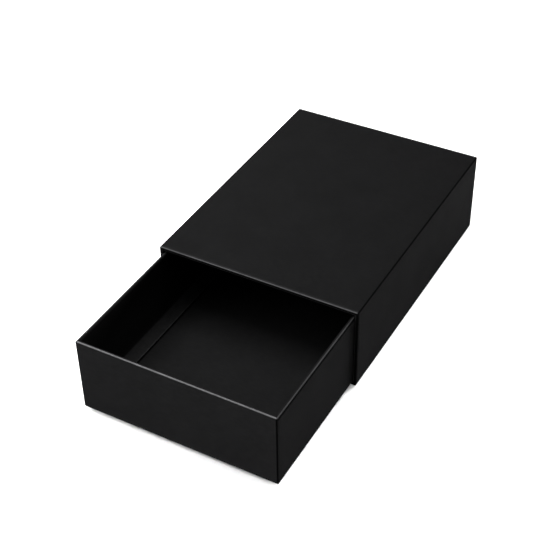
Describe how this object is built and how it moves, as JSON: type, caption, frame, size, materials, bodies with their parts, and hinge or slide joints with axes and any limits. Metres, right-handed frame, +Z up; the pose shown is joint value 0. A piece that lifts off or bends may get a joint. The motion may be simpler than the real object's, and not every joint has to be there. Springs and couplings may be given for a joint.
{
  "type": "sliding drawer gift box",
  "caption": "Rigid black paper-covered board gift box: an open-ended rectangular sleeve with a plain open-topped drawer that slides in and out of it lengthwise.",
  "frame": {"origin": "middle of the sleeve's underside, on the surface that the box stands on", "axes": "+X to the right when facing the drawer's front, +Y from the drawer's front towards the back, along which the drawer slides, +Z up"},
  "size_m": [0.1502, 0.3052, 0.0634],
  "materials": {
    "covering_paper": "matt black covering paper with a faint satin sheen",
    "lining_paper": "uncoated matt black paper",
    "greyboard": "raw grey recycled board",
    "gummed_tape": "brown gummed kraft tape"
  },
  "bodies": {
    "sleeve": {"sleeve_top_board": "greyboard", "sleeve_bottom_board": "greyboard", "sleeve_left_board": "greyboard", "sleeve_right_board": "greyboard", "sleeve_tape_top_left": "gummed_tape", "sleeve_tape_top_right": "gummed_tape", "sleeve_tape_bottom_left": "gummed_tape", "sleeve_tape_bottom_right": "gummed_tape", "sleeve_wrap": "covering_paper", "sleeve_lining": "lining_paper"},
    "drawer": {"drawer_base_board": "greyboard", "drawer_front_board": "greyboard", "drawer_back_board": "greyboard", "drawer_left_board": "greyboard", "drawer_right_board": "greyboard", "drawer_stay_front_left": "gummed_tape", "drawer_stay_front_right": "gummed_tape", "drawer_stay_back_left": "gummed_tape", "drawer_stay_back_right": "gummed_tape", "drawer_wrap": "covering_paper", "drawer_floor_liner": "lining_paper"}
  },
  "joints": [
    {"name": "drawer_slide", "type": "slide", "parent": "sleeve", "child": "drawer", "axis": [0, -1, 0], "range_m": [-0.1023, 0.105]}
  ]
}
